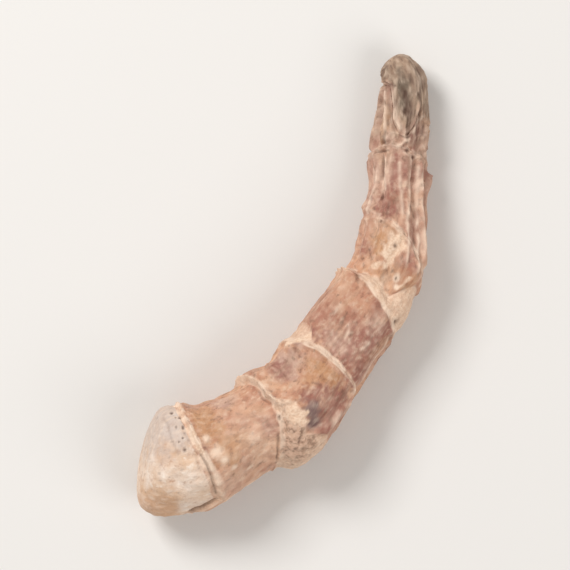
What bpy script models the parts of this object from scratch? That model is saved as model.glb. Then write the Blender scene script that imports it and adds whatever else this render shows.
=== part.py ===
"""A dried sweet flag rhizome, one piece, cut from its neighbours and dried.

Blender 4.5, metres, +Z up. The root is a ringed, bent body that lies on the plane z = 0 on three
low flat spots. It is a UV sphere whose rows are pulled out along a bent centreline: one pole is the
middle of the cut end, the other is the tip. Lengths below are in millimetres and become metres in
the mesh. Round the body, 0 degrees is the outer side of the bend, 90 the top, 180 the inner side
and 270 the underside.
"""

import bmesh
import bpy
import numpy as np

MM = 0.001
NODE_NAME = "rhizome"
COLUMNS = 54

# The centreline from beyond the cut end to the tip: x, y, and height over the ground.
CENTRELINE = (
    (-28.3, -32.8, 8.3),
    (-20.3, -31.8, 8.2),
    (-13.1, -30.2, 8.0),
    (-4.7, -25.4, 8.2),
    (3.3, -20.2, 8.2),
    (9.4, -11.8, 7.6),
    (14.9, -4.0, 7.6),
    (19.4, 3.1, 7.5),
    (20.9, 11.4, 6.6),
    (20.9, 20.0, 5.3),
    (22.3, 31.5, 5.1),
    (22.2, 36.7, 5.2),
    (19.9, 41.3, 5.4),
)

# Ring lines. A line crosses the root at `at` along the centreline, or up to `top` further towards
# the tip on the upper side, and `side` further on the outer side. A tongue, given as its length,
# the direction that it faces and its spread in degrees, draws the line back towards the cut.
CUT = {"at": 3.3, "top": 1.9, "side": -2.9}
CUT_SQUARENESS = 3.2  # 2 for a round end, more for a flat one with rounded edges
TIP_AT = 101.6
TIP_SQUARENESS = 2.3  # 2 for a round tip, as for the cut end

# The nodes, where leaves have come off. Each has a ring line. Its leaf scar is `narrow` wide all
# round, and wider by its lobes, each given as its width, the direction that it faces and its spread
# in degrees. The ring and the far edge of the scar stand up as lips. `swell` raises the lobes, in
# millimetres for each millimetre of their width.
NODES = (
    {"at": 11.3, "top": 2.0, "side": 1.7, "tongue": (4.0, 350, 40), "narrow": 1.4,
     "lobes": ((0.0, 0, 90),), "lips": (-0.15, 0.50), "swell": 0.0},
    {"at": 23.5, "top": 6.0, "side": -1.2, "tongue": (0.0, 0, 90), "narrow": 0.8,
     "lobes": ((7.4, 8, 62), (3.3, 69, 42)), "lips": (0.45, 0.15), "swell": 0.24},
    {"at": 38.7, "top": 4.0, "side": -0.7, "tongue": (6.0, 352, 45), "narrow": 0.9,
     "lobes": ((3.4, 165, 50),), "lips": (0.45, 0.10), "swell": 0.10},
    {"at": 53.3, "top": 4.0, "side": -2.4, "tongue": (0.0, 0, 90), "narrow": 0.8,
     "lobes": ((7.2, 12, 66), (1.3, 85, 45)), "lips": (0.40, 0.20), "swell": 0.06},
    {"at": 64.9, "top": 4.0, "side": -4.4, "tongue": (0.0, 0, 90), "narrow": 0.9,
     "lobes": ((2.0, 195, 60),), "lips": (0.35, 0.20), "swell": 0.10},
    {"at": 80.4, "top": 3.7, "side": -0.9, "tongue": (0.0, 0, 90), "narrow": 0.8,
     "lobes": ((2.4, 350, 65),), "lips": (0.30, 0.25), "swell": 0.08},
    {"at": 92.5, "top": 1.4, "side": -4.0, "tongue": (7.0, 98, 42), "narrow": 0.7,
     "lobes": ((0.8, 215, 60),), "lips": (0.10, 0.40), "swell": 0.0},
)

# Half-width of the root at each ring and scar edge in turn, and halfway along each stretch between.
EDGE_HALF_WIDTHS = (9.8, 9.6, 7.2, 8.9, 8.1, 7.4, 7.0, 6.2, 6.1, 5.8, 4.8, 4.3, 4.1, 4.1)
MIDDLE_HALF_WIDTHS = (9.4, 8.0, 8.8, 8.2, 7.5, 7.3, 7.4, 6.2, 5.9, 4.3, 5.0, 4.2, 4.15)
FLATNESS = 0.86  # height of the section over its width
UNDULATION = 0.16  # lumps of the whole body

# Rows of faces on the cut end, on each stretch from the first ring to the tip base, and on the tip.
CUT_ROWS = 14
STRETCH_ROWS = (3, 8, 4, 9, 3, 8, 4, 7, 3, 9, 3, 7, 2)
TIP_ROWS = 10

# Bark covers the internodes, the stretches after each scar, and stands over the scars.
BARK_RISE = 0.35
BARK_EDGES = (0.9, 0.6)
WRINKLES = (0.18, 0.22, 0.26, 0.24, 0.42, 0.40)
WRINKLE_WAVES = range(4, 11)
LIP_WIDTH = 0.5
LIP_BREAKS = 0.4  # how much the height of the lips varies round the root
SWELL_EDGE = 1.6  # how far a swelling runs out past its scar

# The underside carries the stubs of dried rootlets, in an uneven double row.
ROOTLETS = 26
ROOTLET_SPAN = (16.0, 92.0)
ROOTLET_TURNS = (236, 304)
ROOTLET_RADIUS = 1.35
ROOTLET_RISE = 0.6

# Three low places carry the root: where along the centreline, degrees round, radius and depth.
FEET = (
    (15.0, 268, 4.5, 1.0),
    (39.5, 296, 5.0, 1.5),
    (83.5, 272, 4.0, 1.0),
)

SEED = 11


def spline(knots, values, at):
    """Catmull-Rom curve: a cubic between knots, whose slope at each one comes from its neighbours."""
    knots, values = np.asarray(knots, float), np.asarray(values, float)
    slopes = np.gradient(values, knots, axis=0)
    i = np.clip(np.searchsorted(knots, at) - 1, 0, len(knots) - 2)
    step = knots[i + 1] - knots[i]
    t = (at - knots[i]) / step
    if values.ndim > 1:
        step, t = step[..., None], t[..., None]
    return (
        values[i] * (1 + 2 * t) * (1 - t) ** 2
        + values[i + 1] * t * t * (3 - 2 * t)
        + slopes[i] * step * t * (1 - t) ** 2
        - slopes[i + 1] * step * t * t * (1 - t)
    )


def smooth(t):
    """0 below 0, 1 above 1, and an even ramp between."""
    t = np.clip(t, 0, 1)
    return t * t * (3 - 2 * t)


def centreline(along):
    """Point on the centreline and its direction for lengths measured along it."""
    points = np.array(CENTRELINE)
    knots = np.arange(len(points), dtype=float)
    fine = np.linspace(0, knots[-1], 600)
    path = spline(knots, points, fine)
    length = np.concatenate([[0], np.cumsum(np.linalg.norm(np.diff(path, axis=0), axis=1))])
    ahead = np.gradient(path, length, axis=0)
    where = np.stack([np.interp(along, length, path[:, k]) for k in range(3)], axis=-1)
    heading = np.stack([np.interp(along, length, ahead[:, k]) for k in range(3)], axis=-1)
    return where, heading / np.linalg.norm(heading, axis=-1, keepdims=True)


def share(turn, faces, spread):
    """1 in the direction that it faces, falling smoothly to 0 at a spread from it, in degrees."""
    edge = np.cos(np.radians(spread))
    return smooth((np.cos(turn - np.radians(faces)) - edge) / (1 - edge))


def ring_line(ring, turn):
    """Length along the centreline at which a ring crosses each direction round the root."""
    length, faces, spread = ring["tongue"]
    upper = ring["top"] * ((1 + np.sin(turn)) / 2) ** 2
    return ring["at"] + upper + ring["side"] * np.cos(turn) - length * share(turn, faces, spread)


def widening(node, turn):
    """How much wider than its narrow side a leaf scar is at each direction: its widest lobe there."""
    return np.max([width * share(turn, faces, spread) for width, faces, spread in node["lobes"]], axis=0)


def edge_lines(turn):
    """Both edges of every leaf scar at each direction, from the cut end to the tip."""
    lines = []
    for node in NODES:
        ring = ring_line(node, turn)
        lines += [ring, ring + node["narrow"] + widening(node, turn)]
    return np.array(lines)


def body_rows():
    """Stretch number plus share of it for each row from the first ring to the tip base."""
    places = []
    for stretch, rows in enumerate(STRETCH_ROWS):
        even = np.arange(rows) / rows
        places.append(stretch + (1 - np.cos(np.pi * even)) / 2)
    return np.concatenate(places)


def uneven(rng, turn, along, waves, bend):
    """Smooth random field of spread 1: a sum of waves round the root that wander along it."""
    total = np.zeros(np.broadcast(turn, along).shape)
    for wave in waves:
        drift, phase, size = rng.normal(0, bend), rng.uniform(0, 2 * np.pi), rng.uniform(0.6, 1.4)
        total += size * np.cos(wave * turn + drift * along + phase)
    return total / np.sqrt(0.5 * len(waves))


def relief(along, turn, lines, half_width):
    """Height of the surface over the plain tapering body, in millimetres."""
    rng = np.random.default_rng(SEED)
    height = UNDULATION * uneven(rng, turn, along, range(2, 5), 0.10)
    for number, node in enumerate(NODES):
        ring, far = lines[2 * number], lines[2 * number + 1]
        broken = 1 + LIP_BREAKS * uneven(rng, turn, 0 * along, range(2, 8), 0)
        for line, lip in zip((ring, far), node["lips"]):
            height += lip * broken * np.exp(-(((along - line) / LIP_WIDTH) ** 2))
        middle = (along - (ring + far) / 2) / ((far - ring) / 2 + SWELL_EDGE)
        height += node["swell"] * widening(node, turn) * np.exp(-(middle**2))
    for number, depth in enumerate(WRINKLES):
        start, end = lines[2 * number + 1], lines[2 * number + 2]
        bark = smooth((along - start) / BARK_EDGES[0]) * smooth((end - along) / BARK_EDGES[1])
        height += bark * (BARK_RISE + depth * uneven(rng, turn, along, WRINKLE_WAVES, 0.06))
    for _ in range(ROOTLETS):
        place = rng.uniform(*ROOTLET_SPAN)
        side = np.radians(rng.uniform(*ROOTLET_TURNS))
        away = np.hypot(along - place, half_width * (turn - side)) / ROOTLET_RADIUS
        height += ROOTLET_RISE * np.exp(-(away**4))
    for place, side, radius, depth in FEET:
        away = np.hypot(along - place, half_width * (turn - np.radians(side))) / radius
        height += depth * np.exp(-(away**2))
    return height


def cut_end(turn, line, half_width):
    """Length along, half-width and strength of relief on the rows of the cut end."""
    angle = (np.pi / 2 * np.arange(CUT_ROWS) / CUT_ROWS)[:, None]
    out = np.sin(angle) ** (2 / CUT_SQUARENESS)
    lean = CUT["top"] * np.sin(turn) + CUT["side"] * np.cos(turn)
    face = CUT["at"] + out * lean
    along = face + (line - face) * (1 - np.cos(angle) ** (2 / CUT_SQUARENESS))
    return along, half_width * out, out**2


def tip_end(line, half_width):
    """Length along, half-width and strength of relief on the rows of the tip, a quarter of a
    superellipse from the last line to the tip."""
    angle = np.linspace(0, np.pi / 2, TIP_ROWS + 1)[:, None]
    out = np.maximum(np.cos(angle), 0) ** (2 / TIP_SQUARENESS)
    return line + (TIP_AT - line) * np.sin(angle) ** (2 / TIP_SQUARENESS), half_width * out, out


def root_rows(turn):
    """Length along, half-width and strength of relief on every row, from the cut to the tip."""
    lines = edge_lines(turn)
    place = body_rows()
    knots = np.arange(2 * len(lines) - 1) / 2
    widths = np.empty(len(knots))
    widths[0::2] = EDGE_HALF_WIDTHS
    widths[1::2] = MIDDLE_HALF_WIDTHS
    stretch = place.astype(int)
    part = (place - stretch)[:, None]
    along = (1 - part) * lines[stretch] + part * lines[stretch + 1]
    body = along, spline(knots, widths, place)[:, None], 1 + 0 * part
    sections = cut_end(turn, lines[0], widths[0]), body, tip_end(lines[-1], widths[-1])
    along, half_width, strength = (np.concatenate([s[k] + 0 * turn for s in sections]) for k in range(3))
    return along, half_width, strength, lines


def root_points(turn):
    """Every vertex of the root as rows by columns, in millimetres."""
    along, half_width, strength, lines = root_rows(turn)
    where, ahead = centreline(along)
    out = np.stack([ahead[..., 1], -ahead[..., 0], 0 * along], axis=-1)
    out /= np.linalg.norm(out, axis=-1, keepdims=True)
    up = np.cross(out, ahead)
    height = strength * relief(along, turn, lines, half_width)
    across = ((half_width + height) * np.cos(turn))[..., None] * out
    rise = ((half_width * FLATNESS + height) * np.sin(turn))[..., None] * up
    points = where + across + rise
    points[..., 2] = np.maximum(points[..., 2], 0)
    middle = (points.min(axis=(0, 1)) + points.max(axis=(0, 1))) / 2
    return points - (middle[0], middle[1], 0)


def make_material():
    """Dried bark: matt, pinkish brown."""
    material = bpy.data.materials.new("dried_bark")
    material.use_nodes = True
    shader = material.node_tree.nodes["Principled BSDF"]
    shader.inputs["Base Color"].default_value = (0.56, 0.34, 0.24, 1)
    shader.inputs["Roughness"].default_value = 0.85
    shader.inputs["Metallic"].default_value = 0
    return material


def make_rhizome():
    """A UV sphere whose rows and columns take the root's own points."""
    turn = 2 * np.pi * np.arange(COLUMNS) / COLUMNS
    points = root_points(turn)
    rows = len(points) - 1
    shape = bmesh.new()
    bmesh.ops.create_uvsphere(shape, u_segments=COLUMNS, v_segments=rows, radius=1)
    for vertex in shape.verts:
        row = round(np.arccos(np.clip(vertex.co.z, -1, 1)) / np.pi * rows)
        column = round(np.arctan2(vertex.co.y, vertex.co.x) / (2 * np.pi) * COLUMNS) % COLUMNS
        vertex.co = points[row, column] * MM
    mesh = bpy.data.meshes.new(NODE_NAME)
    shape.to_mesh(mesh)
    shape.free()
    mesh.shade_smooth()
    mesh.materials.append(make_material())
    return bpy.data.objects.new(NODE_NAME, mesh)


def main():
    for obj in list(bpy.data.objects):
        bpy.data.objects.remove(obj)
    root = bpy.data.collections.new("sweet_flag_root")
    bpy.context.scene.collection.children.link(root)
    root.objects.link(make_rhizome())


main()
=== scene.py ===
"""The looks of a dried sweet flag rhizome that lies on a pale floor, seen from straight above.

Metres, +Z up. The rhizome's surface is worked out in millimetres from the same lines and sections as
its solid, on a finer grid, and then gets its bark fibres, cracks, pits, leaf scars and rootlet stubs.
Round the root, 0 degrees is the outer side of the bend, 90 the top, 180 the inner side and 270 the
underside. Along it, lengths run from beyond the cut end at 0 to the tip.
"""

from types import SimpleNamespace

import bpy
import numpy as np
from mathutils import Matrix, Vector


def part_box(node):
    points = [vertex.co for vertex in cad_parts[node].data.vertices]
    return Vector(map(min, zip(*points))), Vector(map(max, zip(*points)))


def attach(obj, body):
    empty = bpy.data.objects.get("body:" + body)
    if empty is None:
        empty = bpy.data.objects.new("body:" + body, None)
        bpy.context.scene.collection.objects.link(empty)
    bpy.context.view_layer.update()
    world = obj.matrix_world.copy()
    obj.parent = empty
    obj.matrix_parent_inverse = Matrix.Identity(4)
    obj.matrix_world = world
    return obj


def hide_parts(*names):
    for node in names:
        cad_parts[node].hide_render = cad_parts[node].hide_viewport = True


MM = 0.001
SEED = 11  # of the solid's own relief

# The grid: columns round the root, rows along it, and rows on the cut end and on the tip.
COLUMNS = 196
ROWS_PER_MM = 4.4
CUT_ROWS = 56
TIP_ROWS = 38
FRAY = 0.09  # how uneven the edges of the scars are
FRAY_SEED = 5

# The centreline from beyond the cut end to the tip: x, y, and height over the ground.
CENTRELINE = (
    (-28.3, -32.8, 8.3),
    (-20.3, -31.8, 8.2),
    (-13.1, -30.2, 8.0),
    (-4.7, -25.4, 8.2),
    (3.3, -20.2, 8.2),
    (9.4, -11.8, 7.6),
    (14.9, -4.0, 7.6),
    (19.4, 3.1, 7.5),
    (20.9, 11.4, 6.6),
    (20.9, 20.0, 5.3),
    (22.3, 31.5, 5.1),
    (22.2, 36.7, 5.2),
    (19.9, 41.3, 5.4),
)

# Ring lines. A line crosses the root at `at` along the centreline, or up to `top` further towards
# the tip on the upper side, and `side` further on the outer side. A tongue, given as its length,
# the direction that it faces and its spread in degrees, draws the line back towards the cut.
CUT = {"at": 3.3, "top": 1.9, "side": -2.9}
CUT_SQUARENESS = 3.2  # the power of the end's superellipse: 2 is round, more is squarer
TIP_AT = 101.6
TIP_SQUARENESS = 2.3

# The nodes, where leaves have come off. Each has a ring line. Its leaf scar is `narrow` wide all
# round, and wider by its lobes, each given as its width, the direction that it faces and its spread
# in degrees. The ring and the far edge of the scar stand up as lips. `swell` raises the lobes, in
# millimetres for each millimetre of their width.
NODES = (
    {"at": 11.3, "top": 2.0, "side": 1.7, "tongue": (4.0, 350, 40), "narrow": 1.4,
     "lobes": ((0.0, 0, 90),), "lips": (-0.15, 0.50), "swell": 0.0},
    {"at": 23.5, "top": 6.0, "side": -1.2, "tongue": (0.0, 0, 90), "narrow": 0.8,
     "lobes": ((7.4, 8, 62), (3.3, 69, 42)), "lips": (0.45, 0.15), "swell": 0.24},
    {"at": 38.7, "top": 4.0, "side": -0.7, "tongue": (6.0, 352, 45), "narrow": 0.9,
     "lobes": ((3.4, 165, 50),), "lips": (0.45, 0.10), "swell": 0.10},
    {"at": 53.3, "top": 4.0, "side": -2.4, "tongue": (0.0, 0, 90), "narrow": 0.8,
     "lobes": ((7.2, 12, 66), (1.3, 85, 45)), "lips": (0.40, 0.20), "swell": 0.06},
    {"at": 64.9, "top": 4.0, "side": -4.4, "tongue": (0.0, 0, 90), "narrow": 0.9,
     "lobes": ((2.0, 195, 60),), "lips": (0.35, 0.20), "swell": 0.10},
    {"at": 80.4, "top": 3.7, "side": -0.9, "tongue": (0.0, 0, 90), "narrow": 0.8,
     "lobes": ((2.4, 350, 65),), "lips": (0.30, 0.25), "swell": 0.08},
    {"at": 92.5, "top": 1.4, "side": -4.0, "tongue": (7.0, 98, 42), "narrow": 0.7,
     "lobes": ((0.8, 215, 60),), "lips": (0.10, 0.40), "swell": 0.0},
)

# Half-width of the root at each ring and scar edge in turn, and halfway along each stretch between.
EDGE_HALF_WIDTHS = (9.8, 9.6, 7.2, 8.9, 8.1, 7.4, 7.0, 6.2, 6.1, 5.8, 4.8, 4.3, 4.1, 4.1)
MIDDLE_HALF_WIDTHS = (9.4, 8.0, 8.8, 8.2, 7.5, 7.3, 7.4, 6.2, 5.9, 4.3, 5.0, 4.2, 4.15)
FLATNESS = 0.86  # height as a share of width
UNDULATION = 0.16  # how far the whole root swells and shrinks

# Bark stands up over the scars, with an edge towards the cut and one towards the tip, and is
# wrinkled to its own depth on each stretch between two nodes.
BARK_RISE = 0.35
BARK_EDGES = (0.9, 0.6)
WRINKLES = (0.18, 0.22, 0.26, 0.24, 0.42, 0.40)
WRINKLE_WAVES = range(4, 11)
LIP_WIDTH = 0.5
LIP_BREAKS = 0.4  # how much the height of the lips varies round the root
SWELL_EDGE = 1.6  # how far a swelling runs out past its scar

# Stubs of broken rootlets, scattered over the underside.
ROOTLETS = 26
ROOTLET_SPAN = (16.0, 92.0)
ROOTLET_TURNS = (236, 304)
ROOTLET_RADIUS = 1.35
ROOTLET_RISE = 0.6

# The low places that the root lies on: length along, direction, radius and depth.
FEET = (
    (15.0, 268, 4.5, 1.0),
    (39.5, 296, 5.0, 1.5),
    (83.5, 272, 4.0, 1.0),
)

# How each node looks: the crease on the cut side of its ring, sunk and darkened with painted shade,
# as depth, direction and spread; how far its narrow scar is filled to one rounded ridge; how pale
# the ridge is rubbed, as strength, direction and spread, and the far edge of the scar; how much of
# the scar is bare cork, and how much grime lies on it.
NODE_LOOKS = (
    {"crease": (0.25, 95, 40), "fill": 0.36, "pale": (1.1, 128, 98), "far": 0.4,
     "cork": 0.6, "grime": 0.0},
    {"crease": (0.80, 50, 110), "fill": 0.0, "pale": (0.6, 90, 179), "far": 0.2,
     "cork": 1.0, "grime": 0.35},
    {"crease": (0.0, 70, 120), "fill": 0.34, "pale": (0.9, 90, 179), "far": 0.1,
     "cork": 0.7, "grime": 0.2},
    {"crease": (0.12, 50, 120), "fill": 0.10, "pale": (0.8, 55, 105), "far": 0.5,
     "cork": 0.9, "grime": 0.1},
    {"crease": (0.20, 90, 150), "fill": 0.0, "pale": (0.45, 70, 90), "far": 0.2,
     "cork": 0.05, "grime": 0.4},
    {"crease": (0.10, 180, 60), "fill": 0.0, "pale": (0.1, 90, 179), "far": 0.2,
     "cork": 0.10, "grime": 0.5},
    {"crease": (0.60, 120, 100), "fill": 0.0, "pale": (0.3, 125, 70), "far": 0.1,
     "cork": 0.10, "grime": 0.6},
)

# Fine marks are placed by millimetres along the root and degrees round it.
# Pits, most of them left by the leaf's bundles beside the first ring: place, radius.
PITS = (
    (11.2, 138, 0.34), (11.5, 124, 0.28), (11.1, 99, 0.30), (9.8, 150, 0.30), (11.1, 112, 0.22),
    (10.2, 126, 0.20), (10.4, 140, 0.18), (10.3, 108, 0.16), (66.1, 91, 0.32), (83.9, 78, 0.34),
    (82.8, 64, 0.32), (55.3, 37, 0.50), (91.0, 90, 0.50), (61.3, 72, 0.22), (29.6, 84, 0.26),
    (94.2, 62, 0.24), (70.2, 118, 0.20),
)
# Cracks and creases: places along each, half-width, depth, and how much painted shade darkens its bottom.
CREASES = (
    (((8.3, 148), (8.9, 134), (9.1, 115), (9.8, 95)), 0.18, 0.14, 0.25),
    (((13.9, 90), (14.4, 80), (14.5, 68), (14.3, 38)), 0.20, 0.28, 0.65),
    (((13.9, 27), (12.4, 19), (10.9, 13), (10.4, 4)), 0.26, 0.50, 0.90),
    (((82.9, 157), (83.2, 138), (83.6, 113)), 0.15, 0.20, 0.70),
    (((94.6, 96), (92.7, 90), (90.6, 90)), 0.42, 0.40, 0.85),
    (((97.6, 162), (96.6, 140), (95.9, 126)), 0.20, 0.30, 0.80),
    (((83.2, 12), (83.5, 32)), 0.20, 0.20, 0.40),
    (((87.2, 40), (89.6, 34), (92.0, 40)), 0.20, 0.20, 0.50),
    (((85.4, 52), (88.2, 60), (91.0, 66)), 0.22, 0.18, 0.40),
    (((86.4, 106), (89.0, 122), (92.0, 134)), 0.20, 0.16, 0.35),
)
# Worn ridges that stand up and are rubbed pale: places along each, half-width and height.
RIDGES = (
    (((15.2, 13), (19.0, 12), (22.6, 9)), 0.45, 0.16),
    (((40.9, 36), (38.4, 28), (36.4, 36), (34.6, 40)), 0.55, 0.32),
    (((41.8, 18), (46.0, 16), (52.6, 22)), 0.45, 0.22),
    (((63.6, 66), (70.9, 76), (76.0, 64), (82.6, 66)), 0.28, 0.24),
    (((63.4, 48), (70.2, 50), (77.1, 44), (81.6, 48)), 0.32, 0.30),
    (((63.2, 34), (70.0, 38), (75.3, 36), (80.6, 36)), 0.30, 0.28),
    (((62.0, 22), (70.0, 24), (78.0, 20)), 0.30, 0.20),
    (((49.2, 118), (50.4, 116), (52.1, 119)), 0.45, 0.10),
    (((47.4, 84), (49.2, 89), (50.0, 93)), 0.36, 0.10),
    (((47.6, 60), (49.6, 57)), 0.34, 0.08),
    (((72.0, 84), (77.0, 86), (81.5, 90)), 0.30, 0.16),
    (((76.4, 118), (79.0, 121), (82.0, 124)), 0.30, 0.14),
    (((72.0, 160), (76.0, 161), (80.5, 164)), 0.36, 0.14),
    (((76.6, 150), (79.6, 146)), 0.45, 0.12),
    (((96.2, 128), (92.5, 126), (89.8, 113), (87.9, 97)), 0.36, 0.20),
    (((84.6, 130), (88.0, 135), (92.0, 142), (95.0, 148)), 0.30, 0.18),
    (((84.5, 96), (86.2, 76), (89.8, 58), (90.6, 34)), 0.30, 0.20),
)
# Pale cork besides the scars: lines along a patch with its half-width, and single spots, which are
# ovals like all the areas after them: place, half-length and half-breadth.
CORK_STROKES = (
    (((13.5, 114), (14.3, 94)), 0.9),
    (((61.5, 112), (63.8, 98)), 0.75),
    (((61.4, 108), (62.8, 101)), 0.80),
    (((64.4, 96), (66.2, 90), (67.2, 88)), 1.75),
    (((65.2, 82), (66.6, 80)), 0.6),
    (((60.9, 60), (62.2, 57)), 0.3),
    (((32.3, 83), (32.6, 70)), 1.1),
    (((40.6, 142), (42.4, 137), (44.0, 130)), 0.9),
)
CORK_SPOTS = (
    (16.2, 104, 0.7, 0.55), (17.0, 87, 1.2, 0.9), (17.6, 75, 0.8, 0.6), (61.4, 71, 0.6, 0.5),
    (97.0, 124, 0.5, 0.4), (20.6, 43, 0.6, 0.3), (18.4, 62, 0.5, 0.3), (60.2, 66, 0.4, 0.4),
)
# Where the bark and the cut face are bleached. The area at 16.7 mm and 41 degrees is painted light, which
# brightens the side of the first stretch that faces away from the light.
BLEACHED_AND_PAINTED_LIGHT_AREAS = (
    (24.0, 68, 5.0, 6.0), (16.7, 41, 3.0, 3.0), (79.5, 122, 2.5, 1.6), (12.0, 52, 2.4, 3.2),
    (53.4, 62, 1.7, 1.6), (66.8, 36, 2.5, 2.0), (46.5, 92, 2.5, 3.0), (60.4, 84, 1.2, 1.0),
    (95.0, 50, 3.0, 1.7),
)
# Bark that has stayed on a scar.
BARK_PATCHES = ((58.5, 130, 0.9, 1.5),)
# The scar with most holes, its grime, and the clean cork beside it.
PITTED_AREA = (29.6, 52, 3.0, 3.6)
GRIMY_AREA = (29.6, 52, 2.8, 3.6)
CLEAN_AREA = (32.3, 77, 1.2, 1.2)
# Where the surface is tinted.
MAUVE_AREAS = (
    (73.9, 112, 2.8, 2.6), (45.6, 88, 2.2, 4.6), (49.0, 58, 4.0, 3.4), (36.6, 50, 3.6, 3.4),
    (52.0, 40, 3.5, 3.0), (45.0, 45, 4.5, 4.5), (39.0, 66, 2.0, 1.8), (79.5, 98, 3.0, 0.8),
    (63.0, 62, 2.6, 1.2), (87.0, 62, 3.0, 0.9), (35.8, 80, 2.2, 2.2),
)
OCHRE_AREAS = (
    (17.2, 122, 3.0, 4.0), (19.0, 84, 2.8, 3.2), (40.2, 84, 1.6, 3.4), (66.4, 110, 2.6, 2.6),
    (88.5, 140, 3.6, 1.0),
)
STAIN_AREAS = (
    (34.2, 70, 1.3, 1.8), (33.5, 58, 1.0, 1.3), (93.2, 96, 2.2, 0.9), (96.0, 102, 2.8, 1.1),
)
COOL_AREAS = (
    (22.6, 140, 2.2, 1.4), (75.0, 158, 4.0, 1.2), (37.4, 126, 3.4, 2.6), (43.0, 130, 1.8, 1.6),
)

# How strongly the bark is mottled, at lengths along the root.
MOTTLING = ((11, 24, 33, 38, 41, 53, 57, 101), (0.42, 0.46, 0.50, 0.50, 0.42, 0.50, 0.60, 0.88))

# Random fields over the surface: seed, width and length of their marks in millimetres, and the
# twist that turns the marks off the root's direction, in radians to a millimetre.
FIELDS = {
    "fibre": (1, 0.9, 9.0, 0),
    "fine_fibre": (2, 0.5, 4.0, 0),
    "crease": (3, 1.8, 14.0, 0),
    "nick": (5, 0.9, 1.6, 0),
    "cork_grain": (6, 0.8, 0.9, 0),
    "hole": (7, 1.2, 1.2, 0),
    "chip": (8, 4.5, 4.5, 0),
    "fine_chip": (9, 1.4, 1.4, 0),
    "scuff": (10, 1.0, 3.2, 0.05),
    "lump": (11, 3.0, 4.0, 0),
    "worn": (12, 3.0, 4.0, 0),
    "blotch": (13, 1.7, 1.9, 0),
    "fold": (14, 3.0, 6.0, 0.04),
    "mealy": (15, 1.3, 1.8, 0),
    "streak": (16, 1.1, 6.0, 0),
    "grain": (17, 0.7, 1.4, 0.03),
    "pucker": (18, 1.0, 2.6, 0.05),
    "surface_edge": (21, 1.6, 1.6, 0),
    "wide_tint": (41, 9.0, 9.0, 0),
    "tint_edge": (42, 2.2, 2.2, 0),
    "fine_tint_edge": (43, 0.8, 0.8, 0),
}
FIELD_WAVES = 40

# What the material needs to know at every point, each from 0 to 1.
MARKS = ("cork", "grime", "cut", "tip", "pale", "dark", "mauve", "ochre", "stain", "cool")

# Random patterns of the material: how many cells there are to a millimetre across the root, the
# same along it as a share of that, and the noise's detail and roughness. Fibres are about 0.5 mm
# apart and 9 times as long, flecks 0.7 mm, clouds 2 mm, specks 0.4 mm and grit 0.2 mm.
PATTERNS = {
    "fibres": (1.1, 0.11, 4, 0.60),
    "flecks": (0.9, 0.70, 3, 0.65),
    "clouds": (0.26, 1.0, 4, 0.55),
    "specks": (1.4, 1.0, 3, 0.70),
    "grit": (2.4, 1.0, 2, 0.60),
}
# What shows of a pattern: the noise value from which it does, and the one from which it does fully.
SHOWN = {
    "cloudy": ("clouds", 0.35, 0.65),
    "fibrous": ("fibres", 0.48, 0.60),
    "flecked": ("flecks", 0.55, 0.72),
    "dusky": ("flecks", 0.45, 0.28),
    "gritty": ("grit", 0.42, 0.60),
    "speckled": ("specks", 0.46, 0.68),
}
# Colours of each kind of surface: the pattern that blends its two grounds, the grounds, and what
# lies over them in turn, each with its strength and colour. Dust flecks lie under the bark's mauve
# and ochre and over them, so that these aren't flat.
COLOURS = {
    "bark": ("cloudy", "ba846c", "d5a484", (
        ("cool", 0.62, "b9998e"),
        ("flecked", 0.35, "e5c6a9"),
        ("mauve", 0.85, "9a6357"),
        ("ochre", 0.75, "bc8a61"),
        ("fibrous", 0.24, "ddba9d"),
        ("flecked", 0.34, "e8caae"),
        ("dusky", 0.85, "88624f"),
        ("stain", 0.74, "736262"),
    )),
    "cork": ("gritty", "e0bda1", "efd2b8", (
        ("grime", 0.65, "c69d86"),
        ("grimy", 1.0, "8c6d5a"),
    )),
    "cut": ("cloudy", "dab799", "ecd8c8", (
        ("flecked", 0.75, "f8eadc"),
        ("dusky", 0.90, "bd967d"),
        # On the cut face the ochre is partly painted shade on its outer side, and the cool is painted
        # light on its inner side.
        ("ochre", 0.80, "cfa17d"),
        ("cool", 0.70, "c6b6ad"),
    )),
    "tip": ("cloudy", "887060", "b0937c", (
        ("fibrous", 0.30, "bda68f"),
        ("flecked", 0.30, "c4ae98"),
        ("dusky", 0.50, "5f4e42"),
        ("stain", 0.85, "645749"),
    )),
}
# The colour of rubbed high places, and of the dust in hollows and the painted shade in creases, and the
# most that shows of each.
RUBBED, MOST_RUBBED = "f3d9c2", 0.85
DUST_AND_SHADE, MOST_DUST_AND_SHADE = "5a4136", 0.85

# The width of the view in metres, and the camera's lens and sensor in millimetres.
VIEW_WIDTH = 0.102
LENS = 400
SENSOR = 36
# Lights: place and size in metres, and power in watts.
LIGHTS = {
    "key": ((-0.42, 0.42, 0.62), 0.35, 5.3),
    "fill": ((0.5, -0.3, 0.5), 0.5, 2.1),
}
ROOM_LIGHT = 0.46


def spline(knots, values, at):
    """Catmull-Rom curve: a cubic between knots, whose slope at each one comes from its neighbours."""
    knots, values = np.asarray(knots, float), np.asarray(values, float)
    slopes = np.gradient(values, knots, axis=0)
    i = np.clip(np.searchsorted(knots, at) - 1, 0, len(knots) - 2)
    step = knots[i + 1] - knots[i]
    t = (at - knots[i]) / step
    if values.ndim > 1:
        step, t = step[..., None], t[..., None]
    return (
        values[i] * (1 + 2 * t) * (1 - t) ** 2
        + values[i + 1] * t * t * (3 - 2 * t)
        + slopes[i] * step * t * (1 - t) ** 2
        - slopes[i + 1] * step * t * t * (1 - t)
    )


def smooth(t):
    """0 below 0, 1 above 1, and an even ramp between."""
    t = np.clip(t, 0, 1)
    return t * t * (3 - 2 * t)


def hump(t):
    """A bell curve, e to the power of minus t squared: 1 at 0 and next to nothing past 2."""
    return np.exp(-(t**2))


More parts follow.
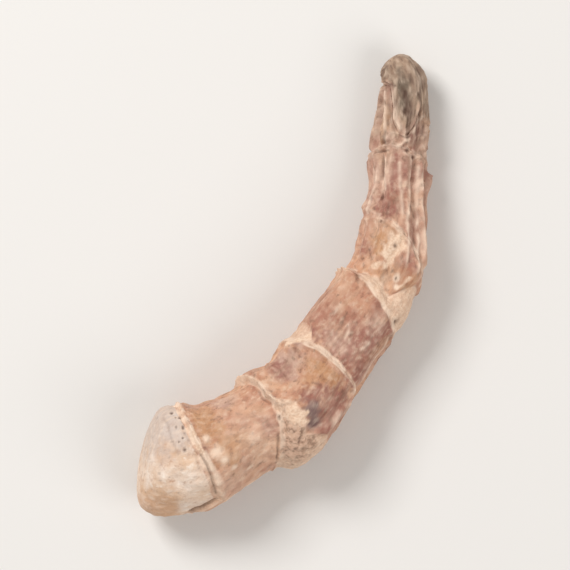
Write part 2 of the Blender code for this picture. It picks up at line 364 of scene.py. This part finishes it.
def centreline(along):
    """Point on the centreline and its direction for lengths measured along it."""
    points = np.array(CENTRELINE)
    knots = np.arange(len(points), dtype=float)
    fine = np.linspace(0, knots[-1], 600)
    path = spline(knots, points, fine)
    length = np.concatenate([[0], np.cumsum(np.linalg.norm(np.diff(path, axis=0), axis=1))])
    ahead = np.gradient(path, length, axis=0)
    where = np.stack([np.interp(along, length, path[:, k]) for k in range(3)], axis=-1)
    heading = np.stack([np.interp(along, length, ahead[:, k]) for k in range(3)], axis=-1)
    return where, heading / np.linalg.norm(heading, axis=-1, keepdims=True)


def share(turn, faces, spread):
    """1 in the direction that it faces, falling smoothly to 0 at a spread from it, in degrees."""
    edge = np.cos(np.radians(spread))
    return smooth((np.cos(turn - np.radians(faces)) - edge) / (1 - edge))


def ring_line(ring, turn):
    """Length along the centreline at which a ring crosses each direction round the root: its own
    place, plus its lean on the upper side and on the outer one, less its tongue."""
    length, faces, spread = ring["tongue"]
    upper = ring["top"] * ((1 + np.sin(turn)) / 2) ** 2
    return ring["at"] + upper + ring["side"] * np.cos(turn) - length * share(turn, faces, spread)


def widening(node, turn):
    """How much wider than its narrow side a leaf scar is at each direction: its widest lobe there."""
    return np.max([width * share(turn, faces, spread) for width, faces, spread in node["lobes"]], axis=0)


def edge_lines(turn):
    """Both edges of every leaf scar at each direction, from the cut end to the tip."""
    lines = []
    for node in NODES:
        ring = ring_line(node, turn)
        lines += [ring, ring + node["narrow"] + widening(node, turn)]
    return np.array(lines)


def uneven(rng, turn, along, waves, bend):
    """Smooth random field of spread 1: a sum of waves round the root that wander along it."""
    total = np.zeros(np.broadcast(turn, along).shape)
    for wave in waves:
        drift, phase, size = rng.normal(0, bend), rng.uniform(0, 2 * np.pi), rng.uniform(0.6, 1.4)
        total += size * np.cos(wave * turn + drift * along + phase)
    return total / np.sqrt(0.5 * len(waves))


def ripple(root, name):
    """Random field of spread 1, a sum of plane waves through the straightened root, so that it has
    neither seam nor pole. The waves are about as long as the marks that FIELDS gives it."""
    seed, across, length, twist = FIELDS[name]
    rng = np.random.default_rng(seed)
    way = rng.normal(size=(FIELD_WAVES, 3))
    way /= np.linalg.norm(way, axis=1, keepdims=True)
    way *= 2 * np.pi * rng.uniform(0.7, 1.3, (FIELD_WAVES, 1)) / (across, across, length)
    turn = root.turn + twist * root.along
    x, y = root.half_width * np.cos(turn), root.half_width * np.sin(turn)
    total = np.zeros_like(root.along)
    for (a, b, c), phase in zip(way, rng.uniform(0, 2 * np.pi, FIELD_WAVES)):
        total += np.cos(a * x + b * y + c * root.along + phase)
    return total / np.sqrt(0.5 * FIELD_WAVES)


def arc(root, degrees):
    """Distance round the root from a direction, in millimetres, the short way."""
    off = (root.turn - np.radians(degrees) + np.pi) % (2 * np.pi) - np.pi
    return root.half_width * off


def oval(root, at, degrees, length, breadth):
    """How far from the middle of an oval area, as a share of its half-length and half-breadth."""
    return np.hypot((root.along - at) / length, arc(root, degrees) / breadth)


def stroke(root, places):
    """Distance to a line of straight runs between places on the surface, in millimetres."""
    nearest = np.full_like(root.along, 1e3)
    for (at, degrees), (next_at, next_degrees) in zip(places, places[1:]):
        x, y = root.along - at, arc(root, degrees)
        run, rise = next_at - at, root.half_width * np.radians(next_degrees - degrees)
        t = np.clip((x * run + y * rise) / (run**2 + rise**2 + 1e-9), 0, 1)
        nearest = np.minimum(nearest, np.hypot(x - t * run, y - t * rise))
    return nearest


def body_rows(lines):
    """Stretch number plus share of it for each row from the first ring to the tip base."""
    places = []
    for stretch, length in enumerate(np.diff(lines, axis=0).mean(axis=1)):
        rows = max(3, round(length * ROWS_PER_MM))
        places.append(stretch + np.arange(rows) / rows)
    return np.concatenate(places)


def cut_end(turn, line, half_width):
    """Rows of the cut end: a superellipse from the middle of the face out to the first ring, on a
    face that leans. Gives length along, half-width and strength of relief."""
    even = np.arange(CUT_ROWS) / CUT_ROWS
    eased = even ** (CUT_SQUARENESS / 2)
    angle = (np.pi / 2 * eased / (eased + (1 - even) ** (CUT_SQUARENESS / 2)))[:, None]
    out = np.sin(angle) ** (2 / CUT_SQUARENESS)
    lean = CUT["top"] * np.sin(turn) + CUT["side"] * np.cos(turn)
    face = CUT["at"] + out * lean
    along = face + (line - face) * (1 - np.cos(angle) ** (2 / CUT_SQUARENESS))
    return along, half_width * out, out**2


def tip_end(line, half_width):
    """Rows of the tip: a quarter of a superellipse from the last line to the tip."""
    angle = np.linspace(0, np.pi / 2, TIP_ROWS + 1)[:, None]
    out = np.maximum(np.cos(angle), 0) ** (2 / TIP_SQUARENESS)
    return line + (TIP_AT - line) * np.sin(angle) ** (2 / TIP_SQUARENESS), half_width * out, out


def root_grid():
    """The root as rows by columns: length along, direction round, half-width, strength of relief
    and the edges of its leaf scars, a little frayed."""
    turn = 2 * np.pi * np.arange(COLUMNS) / COLUMNS
    rng = np.random.default_rng(FRAY_SEED)
    lines = edge_lines(turn)
    lines += [FRAY * uneven(rng, turn, 0, range(5, 24), 0) for _ in lines]
    place = body_rows(lines)
    knots = np.arange(2 * len(lines) - 1) / 2
    widths = np.empty(len(knots))
    widths[0::2] = EDGE_HALF_WIDTHS
    widths[1::2] = MIDDLE_HALF_WIDTHS
    stretch = place.astype(int)
    part = (place - stretch)[:, None]
    along = (1 - part) * lines[stretch] + part * lines[stretch + 1]
    body = along, spline(knots, widths, place)[:, None], 1 + 0 * part
    sections = cut_end(turn, lines[0], widths[0]), body, tip_end(lines[-1], widths[-1])
    along, half_width, strength = (np.concatenate([s[k] + 0 * turn for s in sections]) for k in range(3))
    return SimpleNamespace(along=along, turn=turn + 0 * along, half_width=half_width, strength=strength,
                           lines=lines)


def form(root):
    """Height of the solid's own relief, as a sum: waves round the whole root, a bell curve across
    each lip and each swollen scar, raised and wavy bark between the scars, flat-topped rootlet stubs
    and bell-shaped feet. Also how far each point is from the nearest stub, in stub radii."""
    rng = np.random.default_rng(SEED)
    along, turn, lines = root.along, root.turn, root.lines
    stub = np.full_like(along, 9.0)
    height = UNDULATION * uneven(rng, turn, along, range(2, 5), 0.10)
    for number, node in enumerate(NODES):
        ring, far = lines[2 * number], lines[2 * number + 1]
        broken = 1 + LIP_BREAKS * uneven(rng, turn, 0 * along, range(2, 8), 0)
        for line, lip in zip((ring, far), node["lips"]):
            height += lip * broken * hump((along - line) / LIP_WIDTH)
        middle = (along - (ring + far) / 2) / ((far - ring) / 2 + SWELL_EDGE)
        height += node["swell"] * widening(node, turn) * hump(middle)
    for number, depth in enumerate(WRINKLES):
        start, end = lines[2 * number + 1], lines[2 * number + 2]
        bark = smooth((along - start) / BARK_EDGES[0]) * smooth((end - along) / BARK_EDGES[1])
        height += bark * (BARK_RISE + depth * uneven(rng, turn, along, WRINKLE_WAVES, 0.06))
    for _ in range(ROOTLETS):
        place = rng.uniform(*ROOTLET_SPAN)
        side = np.radians(rng.uniform(*ROOTLET_TURNS))
        away = np.hypot(along - place, root.half_width * (turn - side)) / ROOTLET_RADIUS
        height += ROOTLET_RISE * np.exp(-(away**4))
        stub = np.minimum(stub, away)
    for place, side, radius, depth in FEET:
        away = np.hypot(along - place, root.half_width * (turn - np.radians(side))) / radius
        height += depth * hump(away)
    return height, stub


def zones(root):
    """How much of each kind of surface a point has, from 0 to 1. Cork lies bare in the leaf scars and
    on the strokes and spots of cork, but not where bark has stayed. Grime lies on it, most in the
    pitted scar and least on the strokes. The cut face ends at the first ring. The tip's grey sets in
    slowly and is full past the last scar. Bark is all the rest. Blots make every edge uneven."""
    blot = ripple(root, "surface_edge")
    along, lines = root.along, root.lines
    cork, grime = np.zeros_like(along), np.full_like(along, 0.2)
    for number, look in enumerate(NODE_LOOKS):
        ring, far = lines[2 * number : 2 * number + 2]
        scar = smooth((along - ring + 0.15) / 0.3) * smooth((far - along + 0.15) / 0.3)
        cork += look["cork"] * scar
        grime += (look["grime"] - grime) * scar
    for places, radius in CORK_STROKES:
        cork = np.maximum(cork, smooth((radius - stroke(root, places) + 0.3 * blot) / 0.45))
    for spot in CORK_SPOTS:
        cork = np.maximum(cork, 0.9 * smooth((1.3 - oval(root, *spot) + 0.2 * blot) / 0.7))
    for area in BARK_PATCHES:
        cork *= smooth(oval(root, *area) - 0.5 + 0.2 * blot)
    cut = smooth((lines[0] - along) / 0.3)
    tip = 0.45 * smooth((along - 80) / 9 + 0.1 * blot)
    tip = np.maximum(tip, smooth((along - lines[-1] + 0.2) / 1.4 + 0.15 * blot))
    grime += 0.6 * smooth(1.7 - oval(root, *GRIMY_AREA)) + 0.12 * blot
    grime -= 0.6 * smooth(2.0 - oval(root, *CLEAN_AREA))
    for places, _ in CORK_STROKES:
        grime *= smooth(stroke(root, places) - 0.6)
    return SimpleNamespace(cork=cork, grime=grime, cut=cut, tip=tip, bark=np.clip(1 - cork - cut, 0, 1))


def bark_marks(root, mauve, nick):
    """Height, paleness and darkness of the bark's own marks, in that order. It has low lumps, fibres
    along the root, a mealy mottle, creases and nicks where a random field is highest, and folds where
    one crosses nought near the tip. Its high places are rubbed pale and its low ones hold dust; its
    creases are darkened with painted shade. It is pulled into wrinkles towards the tip. Mauve bark is
    less mottled, and fine-grained up to 60 mm."""
    pull = smooth((root.along - 50) / 30)
    lump = ripple(root, "lump")
    fibre = 0.036 * ripple(root, "fibre") + 0.020 * ripple(root, "fine_fibre")
    crease = smooth((ripple(root, "crease") - 1.3) / 0.9)
    scuff = smooth((ripple(root, "scuff") - 1.35) / 0.8)
    worn = smooth((ripple(root, "worn") - 0.2) / 1.8)
    fold = hump(ripple(root, "fold") / 0.16) * smooth((root.along - 78) / 10)
    mealy = ripple(root, "mealy")
    mottled = np.interp(root.along, *MOTTLING) * (1 - 0.5 * mauve)
    grain = ripple(root, "grain")
    grained = mauve * smooth((60 - root.along) / 4)
    height = 0.10 * lump + (0.5 + 1.5 * pull) * fibre + 0.026 * mealy + 0.12 * fold
    height -= (0.06 + 0.16 * pull) * crease + 0.08 * nick
    pale = mottled * (0.40 * scuff + 0.30 * worn + 0.35 * smooth((mealy - 0.3) / 1.2))
    pale += 0.35 * fold + 0.28 * grained * smooth((grain - 0.3) / 1.5)
    # Painted shade darkens the creases, more of it towards the tip.
    dark = (0.16 + 0.42 * pull) * crease + 0.40 * nick
    dark += 0.32 * mottled * smooth((-mealy - 0.3) / 1.2)
    dark += 0.22 * grained * smooth((-grain - 0.2) / 1.2)
    return np.array([height, pale, dark])


def cork_marks(root, grime, blotch):
    """The same for cork: blotches, a fine grain, and holes where a random field is highest, more of
    them in the pitted scar. Grime darkens the holes."""
    pitted = smooth(2.0 - oval(root, *PITTED_AREA))
    hole = smooth((ripple(root, "hole") - 1.7 + 0.4 * pitted) / 0.9)
    height = 0.08 * blotch + 0.04 * ripple(root, "cork_grain") - 0.12 * hole
    return np.array([height, 0 * hole, 0.7 * grime * hole])


def cut_marks(root, nick):
    """The same for the cut face: low chips of two sizes, nicks, and pale streaks."""
    height = 0.12 * ripple(root, "chip") + 0.05 * ripple(root, "fine_chip") - 0.08 * nick
    streak = smooth((ripple(root, "streak") - 0.3) / 1.4)
    return np.array([height, 0.35 * streak, 0.3 * nick])


def tip_marks(root):
    """The same for the tip: fine puckers, pale on top and dark between."""
    pucker = ripple(root, "pucker")
    pale = 0.28 * smooth((pucker - 0.5) / 1.2)
    dark = 0.46 * smooth((-pucker - 0.4) / 1.2)
    return np.array([0.05 * pucker, pale, dark])


def stub_marks(stub):
    """The same for the rootlet stubs: a dark dip in the middle and a pale rim, as bell curves of the
    distance in stub radii."""
    dip, rim = hump(2.4 * stub), hump((stub - 0.75) / 0.22)
    return np.array([-0.8 * ROOTLET_RISE * dip, 0.7 * rim, 0.8 * hump(2.6 * stub)])


def single_marks(root, blotch):
    """The same for what is placed mark by mark: pits as dark bell-shaped dips with pale rims, creases
    as dips darkened with painted shade, and worn ridges as pale rises across their lines. Blotches
    break the paleness."""
    marks = np.zeros((3, *root.along.shape))
    height, pale, dark = marks
    for at, degrees, radius in PITS:
        away = oval(root, at, degrees, radius, radius)
        height -= 0.34 * hump(away)
        pale += 0.4 * hump((away - 1.8) / 0.5)
        dark += 1.1 * hump(away)
    for places, width, depth, shade in CREASES:
        dip = hump(stroke(root, places) / width)
        height -= depth * dip
        # Painted shade in the bottom of the crease.
        dark += shade * dip
    for places, width, rise in RIDGES:
        lift = hump(stroke(root, places) / width)
        height += rise * lift
        pale += 0.65 * lift * smooth(0.85 + 0.45 * blotch)
    return marks


def ring_marks(root, blotch):
    """The same for the nodes. A crease runs on the cut side of each ring and fades round the root; it is
    darkened with painted shade. The narrow scar is filled to a ridge, whose band is rubbed pale, as the
    scar's far edge is. Waves round the root break the crease, and waves and blotches break the paleness."""
    rng = np.random.default_rng(FRAY_SEED + 1)
    marks = np.zeros((3, *root.along.shape))
    height, pale, dark = marks
    for number, (node, look) in enumerate(zip(NODES, NODE_LOOKS)):
        ring, far = root.lines[2 * number : 2 * number + 2]
        past, narrow = root.along - ring, node["narrow"]
        depth, faces, spread = look["crease"]
        broken = smooth(0.7 + 0.5 * uneven(rng, root.turn, 0, range(2, 14), 0))
        dip = depth * share(root.turn, faces, spread) * broken * hump((past + 0.52) / 0.20)
        height += look["fill"] * hump((past - 0.65 * narrow) / (0.6 * narrow)) - 0.32 * dip
        # Painted shade in the ring's crease.
        dark += dip
        amount, faces, spread = look["pale"]
        rubbed = smooth(0.66 + 0.42 * uneven(rng, root.turn, 0, range(3, 26), 0) + 0.30 * blotch)
        band = smooth((past + 0.3) / 0.3) * smooth((2 * narrow - 0.65 - past) / 0.3)
        pale += rubbed * amount * share(root.turn, faces, spread) * band
        pale += rubbed * look["far"] * hump((root.along - far) / 0.3)
    return marks


def detail(root, zone, mauve, stub):
    """Height of the finest relief, and how pale and how dark it leaves each point. Each kind of
    surface has its own marks, as far as it reaches. Bleached areas, one of them painted light, and cork
    spots are palest in the middle, by bell curves, and all this is less pale on the tip. The marks of
    the tip, the stubs, the nodes and the single ones are added last."""
    nick = smooth((ripple(root, "nick") - 2.0) / 0.5)
    blotch = ripple(root, "blotch")
    marks = zone.bark * bark_marks(root, mauve, nick)
    marks += zone.cork * cork_marks(root, zone.grime, blotch)
    marks += zone.cut * cut_marks(root, nick)
    pale = marks[1]
    # Bleaching, and in one area painted light on a side turned from the light.
    for area in BLEACHED_AND_PAINTED_LIGHT_AREAS:
        pale += 0.30 * (zone.bark + zone.cut) * hump(oval(root, *area))
    for spot in CORK_SPOTS:
        pale += 0.9 * hump(oval(root, *spot))
    pale *= 1 - 0.6 * zone.tip
    marks += zone.tip * tip_marks(root) + stub_marks(stub)
    return marks + single_marks(root, blotch) + ring_marks(root, blotch)


def tints(root, zone):
    """How mauve, ochre, stained and cool in colour each point is, from 0 to 1: the areas that are
    named above, with blotted edges, and wide random ones of mauve and ochre all round. The third
    stretch of bark is rosy all round, and the bark greys towards the tip. The cut face gets painted
    light, cool on its inner side, and painted shade, ochre on its outer one."""
    wide, under = ripple(root, "wide_tint"), smooth(-np.sin(root.turn) * 3)
    rosy = hump((root.along - 49) / 5.5)
    blot = 0.14 * ripple(root, "tint_edge") + 0.10 * ripple(root, "fine_tint_edge")
    nowhere, greying = 0 * wide, 0.8 * smooth((root.along - 62) / 16)
    out = np.sqrt(root.strength)
    # Painted light and shade on the cut face: cool painted light on its inner side, ochre painted shade
    # on its outer side.
    face = out * np.cos(root.turn - np.radians(165)) + 0.3 * (1 - out) + 0.5 * blot
    painted_shade = smooth((-face - 0.1) / 0.6) * smooth((9.5 - root.along) / 2)
    fields = []
    for areas, edge, much in (
        (MAUVE_AREAS, 0.5, np.maximum(0.8 * smooth((wide - 0.4 + 0.3 * under) / 1.6), 0.5 * rosy)),
        (OCHRE_AREAS, 1.0, np.maximum(0.6 * smooth((-wide - 0.8) / 1.6), zone.cut * painted_shade)),
        (STAIN_AREAS, 1.0, nowhere),
        (COOL_AREAS, 1.0, np.maximum(greying, zone.cut * smooth((face - 0.1) / 0.6))),
    ):
        for area in areas:
            much = np.maximum(much, smooth((1 + edge / 2 - oval(root, *area) + blot) / edge))
        fields.append(much)
    return fields


def root_points(root, height):
    """Every vertex in millimetres: across and up from the centreline, with nothing under the ground."""
    where, ahead = centreline(root.along)
    out = np.stack([ahead[..., 1], -ahead[..., 0], 0 * root.along], axis=-1)
    out /= np.linalg.norm(out, axis=-1, keepdims=True)
    up = np.cross(out, ahead)
    height = root.strength * height
    across = ((root.half_width + height) * np.cos(root.turn))[..., None] * out
    rise = ((root.half_width * FLATNESS + height) * np.sin(root.turn))[..., None] * up
    points = where + across + rise
    points[..., 2] = np.maximum(points[..., 2], 0)
    return points


def closed_mesh(name, points):
    """A closed surface from rows of points: one vertex at each end, then quads round every row."""
    rows, columns = points.shape[:2]
    inner = points[1:-1].reshape(-1, 3)
    vertices = np.concatenate([points[:1, 0], inner, points[-1:, 0]])
    i = 1 + np.arange((rows - 2) * columns).reshape(rows - 2, columns)
    j = np.roll(i, -1, axis=1)
    quads = np.stack([i[:-1], i[1:], j[1:], j[:-1]], axis=-1).reshape(-1, 4)
    start = np.stack([np.zeros_like(i[0]), i[0], j[0]], axis=-1)
    end = np.stack([i[-1], np.full_like(i[0], len(vertices) - 1), j[-1]], axis=-1)
    mesh = bpy.data.meshes.new(name)
    mesh.from_pydata(vertices, [], start.tolist() + quads.tolist() + end.tolist())
    mesh.shade_smooth()
    return mesh


def per_vertex(values):
    """Grid values in the mesh's own order: each end's row counts once."""
    return np.concatenate([values[:1, 0], values[1:-1].reshape(-1, *values.shape[2:]), values[-1:, 0]])


def keep(mesh, name, values):
    """Stores a number or a vector for every vertex."""
    kind, field = ("FLOAT", "value") if values.ndim == 2 else ("FLOAT_VECTOR", "vector")
    layer = mesh.attributes.new(name, kind, "POINT")
    layer.data.foreach_set(field, per_vertex(values).astype(np.float32).ravel())


def make_root():
    """The whole rhizome as one fine surface, with what its bark needs to know at every point."""
    root = root_grid()
    zone = zones(root)
    height, stub = form(root)
    mauve, ochre, stain, cool = tints(root, zone)
    fine, pale, dark = detail(root, zone, mauve, stub)
    points = root_points(root, height + fine) * MM
    low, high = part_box("rhizome")
    middle = (points.min(axis=(0, 1)) + points.max(axis=(0, 1))) / 2
    points += ((low.x + high.x) / 2 - middle[0], (low.y + high.y) / 2 - middle[1], 0)
    mesh = closed_mesh("sweet_flag_rhizome", points)
    straight = np.stack([root.half_width * np.cos(root.turn), root.half_width * np.sin(root.turn),
                         root.along], axis=-1) * MM
    keep(mesh, "straight", straight)
    fields = zone.cork, zone.grime, zone.cut, zone.tip, pale, dark, mauve, ochre, stain, cool
    for name, values in zip(MARKS, fields):
        keep(mesh, name, np.clip(values, 0, 1))
    return bpy.data.objects.new("sweet_flag_rhizome", mesh)


def linear(hex_colour):
    """A colour written as on a paint card, as the linear light that the shader needs."""
    rgb = [int(hex_colour[k : k + 2], 16) / 255 for k in (0, 2, 4)]
    return (*(c / 12.92 if c <= 0.04045 else ((c + 0.055) / 1.055) ** 2.4 for c in rgb), 1)


def add(tree, kind, inputs, **settings):
    """Adds a node with its settings; a socket among the inputs is linked, anything else is a value."""
    node = tree.nodes.new(kind)
    for name, value in settings.items():
        setattr(node, name, value)
    for key, value in inputs.items():
        if isinstance(value, bpy.types.NodeSocket):
            tree.links.new(value, node.inputs[key])
        else:
            node.inputs[key].default_value = value
    return node


def dried_bark():
    """Dried rhizome bark and cork: matt, dusty and fibrous, rose brown to tan, with mauve and ochre
    areas. Leaf scars and worn ridges are pale cork, the cut end is chalky flesh, the tip is greyer.
    Hollows hold dark dust, and creases get painted shade in the same dark colour. The cut face has
    painted cool light on its inner side and ochre painted shade on its outer one. Nothing shines,
    because the skin is dull cork and has no oil on it."""
    material = bpy.data.materials.new("dried_rhizome_bark")
    material.use_nodes = True
    tree = material.node_tree
    shader = tree.nodes["Principled BSDF"]
    where = add(tree, "ShaderNodeAttribute", {}, attribute_name="straight").outputs["Vector"]
    shown = {
        name: add(tree, "ShaderNodeAttribute", {}, attribute_name=name).outputs["Fac"] for name in MARKS
    }
    noise = {}
    for name, (cells, along, octaves, roughness) in PATTERNS.items():
        drawn = add(tree, "ShaderNodeMapping", {"Vector": where, "Scale": (1, 1, along)}).outputs[0]
        noise[name] = add(tree, "ShaderNodeTexNoise", {
            "Vector": drawn, "Scale": cells / MM, "Detail": octaves, "Roughness": roughness,
        }).outputs[0]
    for name, (pattern, low, high) in SHOWN.items():
        shown[name] = add(tree, "ShaderNodeMapRange", {
            "Value": noise[pattern], "From Min": low, "From Max": high,
        }).outputs[0]

    def portion(much, most):
        """A share of a pattern or a mark, or of one within another."""
        return add(tree, "ShaderNodeMath", {0: much, 1: most}, operation="MULTIPLY").outputs[0]

    def mixed(much, one, other):
        """The first colour, with as much of the second over it."""
        return add(tree, "ShaderNodeMix", {0: much, 6: one, 7: other}, data_type="RGBA").outputs[2]

    def painted(kind):
        """The colour of one kind of surface: its blended grounds, then layer over layer."""
        ground, one, other, layers = COLOURS[kind]
        colour = mixed(shown[ground], linear(one), linear(other))
        for name, most, shade in layers:
            colour = mixed(portion(shown[name], most), colour, linear(shade))
        return colour

    shown["grimy"] = portion(shown["speckled"], shown["grime"])
    colour = painted("bark")
    for kind in ("cork", "cut", "tip"):
        colour = mixed(shown[kind], colour, painted(kind))
    colour = mixed(portion(shown["pale"], MOST_RUBBED), colour, linear(RUBBED))
    # Painted shade: creases and ring creases are darkened with the dust colour, besides real dust and
    # mottle.
    colour = mixed(portion(shown["dark"], MOST_DUST_AND_SHADE), colour, linear(DUST_AND_SHADE))

    skin = add(tree, "ShaderNodeMath", {0: noise["flecks"], 1: noise["grit"]}, operation="ADD").outputs[0]
    bump = add(tree, "ShaderNodeBump", {"Height": skin, "Strength": 0.8, "Distance": 0.2 * MM})
    tree.links.new(colour, shader.inputs["Base Color"])
    tree.links.new(bump.outputs[0], shader.inputs["Normal"])
    for name, value in (
        ("Roughness", 0.88), ("Specular IOR Level", 0.25), ("Sheen Weight", 0.30),
        ("Sheen Roughness", 0.5), ("Sheen Tint", linear("f2e2d2")),
    ):
        shader.inputs[name].default_value = value
    return material


def matt_paper():
    """Matt white paper, which takes soft shadows and mirrors nothing."""
    material = bpy.data.materials.new("matt_white_paper")
    material.use_nodes = True
    shader = material.node_tree.nodes["Principled BSDF"]
    shader.inputs["Base Color"].default_value = linear("e6e3df")
    shader.inputs["Roughness"].default_value = 0.9
    return material


def studio():
    """A plain pale floor, a broad soft light from the upper left, a weak one opposite, and a camera
    that looks straight down on the middle of the root, from so high that the view is as wide as said
    at half the root's height."""
    low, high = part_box("rhizome")
    bpy.ops.mesh.primitive_plane_add(size=6)
    floor = bpy.context.object
    floor.name = "floor"
    floor.data.materials.append(matt_paper())
    scene = bpy.context.scene
    for name, (place, size, power) in LIGHTS.items():
        light = bpy.data.objects.new(name, bpy.data.lights.new(name, "AREA"))
        scene.collection.objects.link(light)
        light.location = place
        light.rotation_euler = (-light.location).to_track_quat("-Z", "Y").to_euler()
        light.data.size = size
        light.data.energy = power
    scene.world = bpy.data.worlds.new("pale_room")
    scene.world.use_nodes = True
    room = scene.world.node_tree.nodes["Background"]
    room.inputs["Color"].default_value = linear("f4f1ee")
    room.inputs["Strength"].default_value = ROOM_LIGHT
    camera = bpy.data.objects.new("camera", bpy.data.cameras.new("camera"))
    scene.collection.objects.link(camera)
    camera.data.lens = LENS
    camera.data.sensor_width = SENSOR
    middle = (low + high) / 2
    camera.location = (middle.x, middle.y, middle.z + VIEW_WIDTH * LENS / SENSOR)
    scene.camera = camera
    scene.view_settings.view_transform = "Standard"


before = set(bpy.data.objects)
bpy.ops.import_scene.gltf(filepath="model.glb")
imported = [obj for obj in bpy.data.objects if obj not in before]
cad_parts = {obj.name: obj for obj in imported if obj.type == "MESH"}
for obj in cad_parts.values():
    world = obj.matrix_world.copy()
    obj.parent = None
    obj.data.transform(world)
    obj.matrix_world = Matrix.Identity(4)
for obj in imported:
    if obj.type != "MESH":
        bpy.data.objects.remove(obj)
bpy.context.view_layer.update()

rhizome = make_root()
bpy.context.scene.collection.objects.link(rhizome)
rhizome.data.materials.append(dried_bark())
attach(rhizome, "root")
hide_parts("rhizome")

studio()
